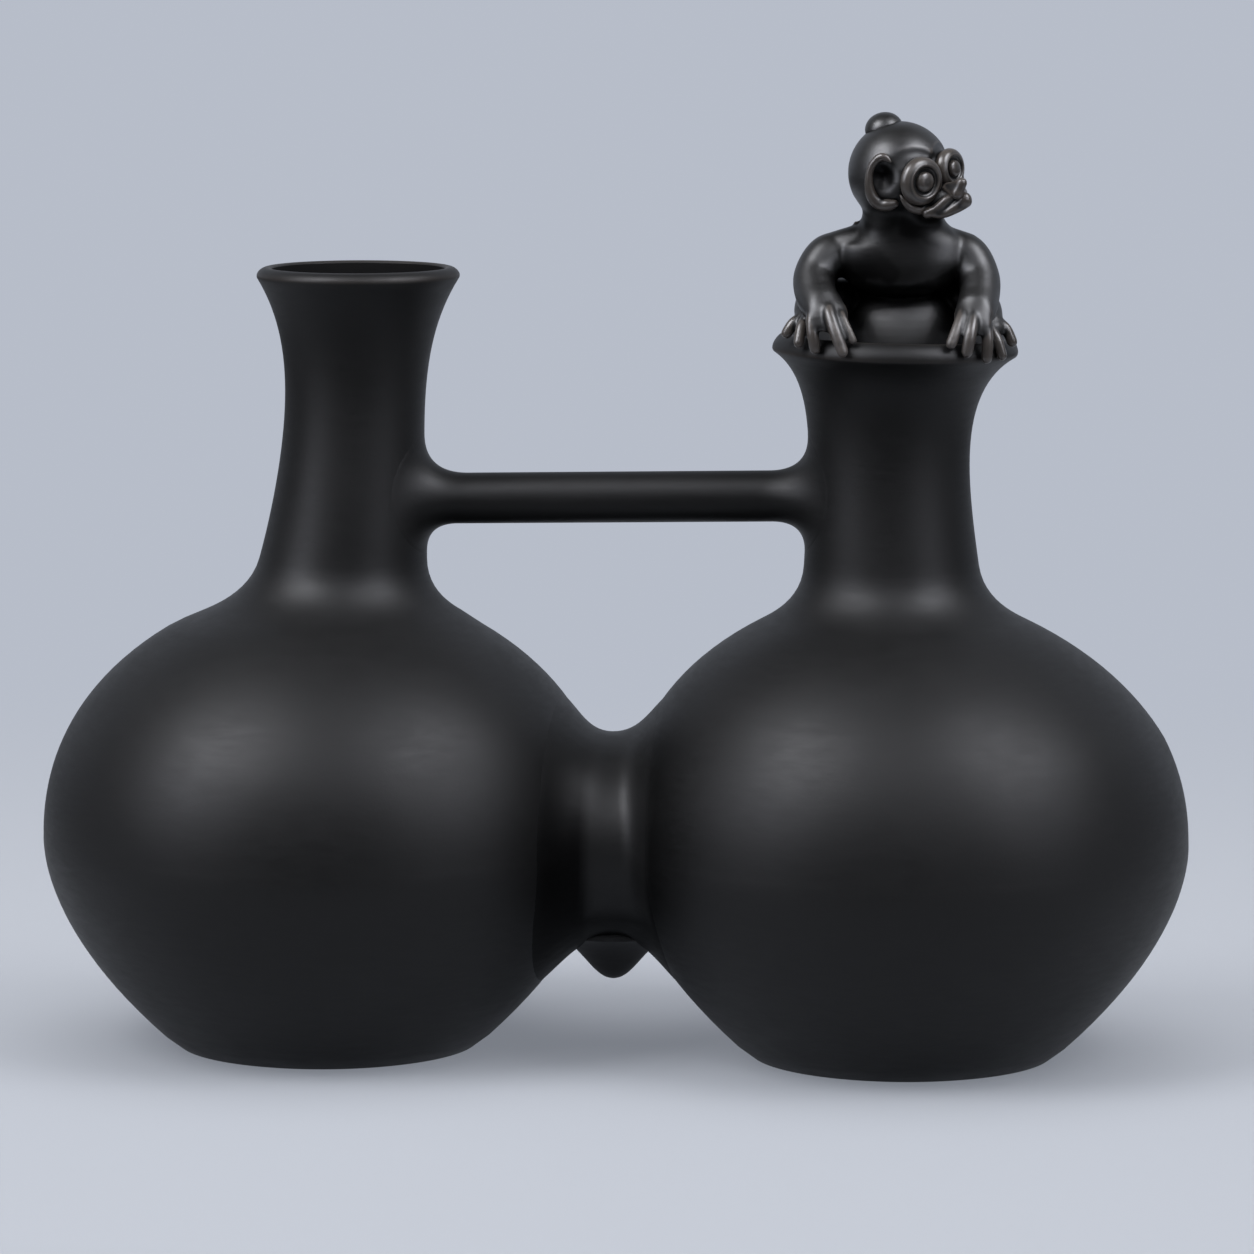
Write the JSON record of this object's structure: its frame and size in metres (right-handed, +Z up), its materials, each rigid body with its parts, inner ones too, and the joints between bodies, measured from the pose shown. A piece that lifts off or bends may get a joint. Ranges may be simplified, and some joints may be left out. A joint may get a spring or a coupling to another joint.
{
  "type": "whistling bottle",
  "caption": "Whistling bottle of burnished black clay: paired round chambers joined by a tube and a bridge handle, an open spout, and a squatting monkey closing the other neck.",
  "frame": {"origin": "on the table, midway between the two feet", "axes": "+X from the spout's chamber towards the figure's chamber, +Y away from the viewer, +Z up"},
  "size_m": [0.2218, 0.1098, 0.1818],
  "materials": {
    "black_clay": "burnished reduction-fired clay, satin",
    "figure_clay": "burnished reduction-fired clay, glossier, worn warm brown on the raised edges"
  },
  "bodies": {
    "root": {"left_chamber_bowl": "black_clay", "left_chamber_shoulder": "black_clay", "left_neck": "black_clay", "left_lip": "black_clay", "right_chamber_bowl": "black_clay", "right_chamber_shoulder": "black_clay", "right_neck": "black_clay", "right_lip": "black_clay", "bridge_handle": "black_clay", "connecting_tube": "black_clay", "tube_nub": "black_clay", "mouth_plate": "black_clay", "figure_head": "figure_clay", "topknot": "figure_clay", "right_eye_ring": "figure_clay", "right_pupil": "figure_clay", "right_ear": "figure_clay", "left_eye_ring": "figure_clay", "left_pupil": "figure_clay", "left_ear": "figure_clay", "nose": "figure_clay", "upper_lip": "figure_clay", "lower_lip": "figure_clay", "figure_torso": "figure_clay", "whistle_ball": "figure_clay", "right_arm": "figure_clay", "right_leg": "figure_clay", "left_arm": "figure_clay", "left_leg": "figure_clay"}
  },
  "joints": []
}
